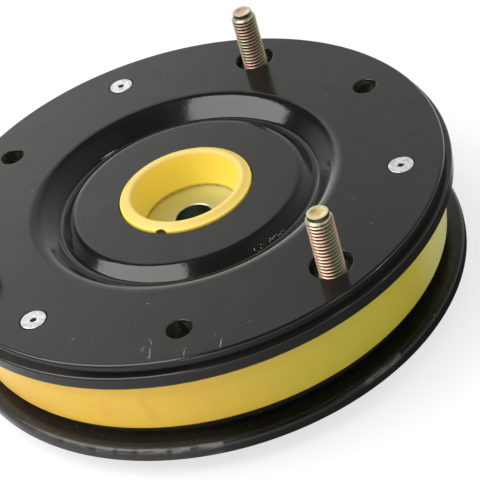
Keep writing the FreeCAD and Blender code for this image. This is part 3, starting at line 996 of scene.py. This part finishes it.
def makeRivets(zinc, circleTree):
    size = rivetSizes
    tailLow = underLevel - size["tailHeight"]
    face, dimpleLow = size["proud"] - size["faceDrop"], size["proud"] - size["dimpleDepth"]
    piece = turnedPiece("rivets", [
        (0, tailLow, 0), (size["tail"], tailLow, size["tailRound"]), (size["tail"], underLevel, 0),
        (size["shank"], underLevel, 0), (size["shank"], -size["depth"], 0),
        (size["headLow"], -size["land"], 0), (size["head"], size["proud"], size["rim"]),
        (size["face"], face, size["faceRound"]), (size["dimple"], face, size["dimpleEdge"]),
        (size["dimple"] - size["dimpleTaper"], dimpleLow, size["dimpleRound"]), (0, dimpleLow, 0)],
        size["segments"])
    soften(patterned(piece, circleTree, pattern["rivetAngle"], zinc))
    finish(piece, zinc, "rivet_zinc", "rivet_1", "rivet_2", "rivet_3")


bushSizes = {
    "neck": 26.25, "mouth": 21.45, "mouthTop": 0.68, "floor": 19.4, "lipRound": 2.0, "edgeRise": 0.6,
    "edgeRound": 0.5, "outerCorner": 1.5, "discPlay": 0.3, "floorCorner": 4.3,
    "notchAngle": 240.0, "notchPlace": 28.75, "notchRadius": 3.3, "notchDepth": 0.3, "notchTop": 2.0,
    "notchSegments": 64,
}


# the middle of the round bite out of the cup's lip
def notchSpot():
    return spotAt(bushSizes["notchPlace"], math.radians(bushSizes["notchAngle"]))


def makeUpperBush(rubber):
    size = bushSizes
    _, underCrown, underGroove, _, _ = parallelPath(topPlatePath(), topPlateSizes["thick"])
    pocket = discRadius + size["discPlay"]
    crownLevel = -topPlateSizes["crownDepth"]
    piece = turnedPiece("upperBush", [
        (size["floor"], discTop, 0), (pocket, discTop, 0), (pocket, bushSplit, 0), (bushRadius, bushSplit, 0),
        (bushRadius, underGroove[1], size["outerCorner"]), underGroove, underCrown,
        (size["neck"], underCrown[1], 0), (size["neck"], crownLevel + size["edgeRise"], size["edgeRound"]),
        (size["mouth"], size["mouthTop"], size["lipRound"])])
    cutters = bmesh.new()
    wide, low, high = size["notchRadius"], crownLevel - size["notchDepth"], size["notchTop"]
    spin(cutters, [(0, low), (wide, low), (wide, high), (0, high)], size["notchSegments"], notchSpot())
    soften(cutAway(piece, cutters))
    finish(piece, rubber, "bush_polyurethane", "upper_bush")


def makeLowerBush(rubber):
    size = bushSizes
    floorLevel = housingLow + housingSizes["thick"]
    pocket = discRadius + size["discPlay"]
    plainPiece("lowerBush", rubber, "bush_polyurethane", "lower_bush", [
        (sleeveRadius, floorLevel, 0), (bushRadius, floorLevel, size["floorCorner"]),
        (bushRadius, bushSplit, 0), (pocket, bushSplit, 0), (pocket, discLow, 0), (sleeveRadius, discLow, 0)])


discSizes = {
    "bore": 7.3, "boreChamfer": 0.4, "boreRound": 0.15, "edge": 0.8, "segments": 192,
    "sleeveBoreEdge": 0.3, "sleeveEdge": 0.8, "sleeveSegments": 128,
}


def makeDiscAndSleeve(zinc):
    size = discSizes
    plainPiece("rodDisc", zinc, "gold_zinc", "rod_disc", [
        (size["bore"], discLow, 0), (discRadius, discLow, size["edge"]), (discRadius, discTop, size["edge"]),
        (size["bore"] + size["boreChamfer"], discTop, size["boreRound"]),
        (size["bore"], discTop - size["boreChamfer"], size["boreRound"])], size["segments"])
    plainPiece("rodSleeve", zinc, "gold_zinc", "rod_sleeve", [
        (size["bore"], sleeveLow, size["sleeveBoreEdge"]), (sleeveRadius, sleeveLow, size["sleeveEdge"]),
        (sleeveRadius, discLow, 0), (size["bore"], discLow, 0)], size["sleeveSegments"])


housingSizes = {"thick": 2.5, "round": 4.0, "floorHole": 20.0}
housingBore = bushRadius + bushSizes["discPlay"]
housingOuter = housingBore + housingSizes["thick"]


def makeHousing(paint):
    size = housingSizes
    floorLevel = housingLow + size["thick"]
    plainPiece("bushHousing", paint, "seat_paint", "bush_housing", sheetCorners([
        (size["floorHole"], floorLevel, 0), (housingBore, floorLevel, size["round"]),
        (housingBore, underLevel, size["round"]), (housingRadius, underLevel, 0)], size["thick"]))


ringSizes = {
    "bore": 60.5, "edge": 0.8, "innerLand": 12.0, "pocketIn": 65.4, "pocketOut": 82.6,
    "channelIn": 75.3, "channelOut": 94.7, "channelDepth": 5.0, "channelRound": 1.5,
    "inset": 4.6, "taper": 2.2, "bulge": 0.6, "bulgeRound": 12.0, "lowRound": 1.6,
    "sealIn": (61.85, 64.05), "sealOut": (84.4, 86.6), "segments": 240,
}


def makeRing(rubber):
    size = ringSizes
    top = studPlateRadius - size["inset"]
    tall = underLevel - ringLow
    channel = underLevel - size["channelDepth"]
    corners = [(size["bore"], ringLow, size["edge"])]
    for low, high, level in ((*size["sealIn"], sealTop), (size["pocketIn"], size["pocketOut"], raceTop),
                             (*size["sealOut"], sealTop)):
        corners += [(low, ringLow, 0), (low, level, 0), (high, level, 0), (high, ringLow, 0)]
    corners += [
        (top - size["taper"], ringLow, size["lowRound"]),
        (top - size["taper"] / 3 + size["bulge"], underLevel - tall / 3, size["bulgeRound"]),
        (top, underLevel, size["edge"]), (size["channelOut"], underLevel, 0),
        (size["channelOut"], channel, size["channelRound"]),
        (size["channelIn"], channel, size["channelRound"]),
        (size["channelIn"], -size["innerLand"], 0), (size["bore"], -size["innerLand"], size["edge"])]
    plainPiece("isolatorRing", rubber, "ring_polyurethane", "isolator_ring", corners, size["segments"])


seatSizes = {
    "thick": 3.0, "boreGap": 4.0, "hat": 91.2, "hatRound": 3.0, "wall": 91.8, "flangeDrop": 4.7,
    "flangeRound": 2.2, "lipRound": 3.2, "edge": 0.5,
}


def makeSeat(paint):
    size = seatSizes
    flange = seatTop - size["flangeDrop"]
    plainPiece("springSeat", paint, "seat_paint", "spring_seat", sheetCorners([
        (housingOuter + size["boreGap"], seatTop, 0), (size["hat"], seatTop, size["hatRound"]),
        (size["wall"], flange, size["flangeRound"]), (seatRadius, flange, size["lipRound"]),
        (seatRadius, seatLipLow, 0)], size["thick"], size["edge"]), body="lower_seat")


padSizes = {"boreGap": 3.0, "collar": 4.5, "collarHeight": 8.0, "sideGap": 3.5, "round": 1.5}


def makePad(rubber):
    size = padSizes
    bore = retainerRadius + size["boreGap"]
    outer = seatSizes["hat"] - size["sideGap"]
    level = padLow + size["collarHeight"]
    under = seatTop - seatSizes["thick"]
    plainPiece("springPad", rubber, "black_rubber", "spring_pad", [
        (bore, padLow, size["round"]), (bore + size["collar"], padLow, size["round"]),
        (bore + size["collar"], level, size["round"]), (outer, level, size["round"]),
        (outer, under, 0), (bore, under, 0)], body="lower_seat")


retainerSizes = {"thick": 2.0, "round": 3.0, "edge": 0.3}


def makeRetainer(paint):
    size = retainerSizes
    plainPiece("retainingRing", paint, "seat_paint", "retaining_ring", sheetCorners([
        (retainerRadius, retainerLow, 0), (housingOuter, retainerLow, size["round"]),
        (housingOuter, retainerTop, 0)], size["thick"], size["edge"]))


def dressInnerParts(steel, nylon, rubber):
    for name, material in (("upper_race", steel), ("lower_race", steel), ("bearing_balls", steel),
                           ("ball_cage", nylon), ("inner_seal", rubber), ("outer_seal", rubber)):
        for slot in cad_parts[name].material_slots:
            slot.material = material


note("camera and studio")
makeCamera()
makeWorld()
makeLamps()
makeFloor()
bpy.context.scene.view_settings.view_transform = "Standard"

note("materials")
plate = platePaint()
dark = seatPaint()
golden = ringPolyurethane()
yellow = bushPolyurethane()
studZinc = yellowZinc()
paleZinc = discZinc()
silver = rivetZinc()
blackRubber = plainMaterial("blackRubber", (220.0, (0.016, 0.016, 0.017), (0.030, 0.030, 0.030)), 0.62)
bearingSteel = plainMaterial("bearingSteel", (300.0, (0.52, 0.52, 0.54), (0.60, 0.60, 0.61)), 0.26,
                             metallic=1.0, bumpiness=0.05)
cageNylon = plainMaterial("cageNylon", (160.0, (0.72, 0.68, 0.55), (0.78, 0.74, 0.62)), 0.45)

note("pieces")
circleTree = patternTree()
makeTopPlate(plate)
makeStudPlate(plate)
makeStuds(studZinc, circleTree)
makeRivets(silver, circleTree)
makeUpperBush(yellow)
makeLowerBush(yellow)
makeDiscAndSleeve(paleZinc)
makeHousing(dark)
makeRing(golden)
makeSeat(dark)
makePad(blackRubber)
makeRetainer(dark)
dressInnerParts(bearingSteel, cageNylon, blackRubber)

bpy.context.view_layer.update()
note("done")
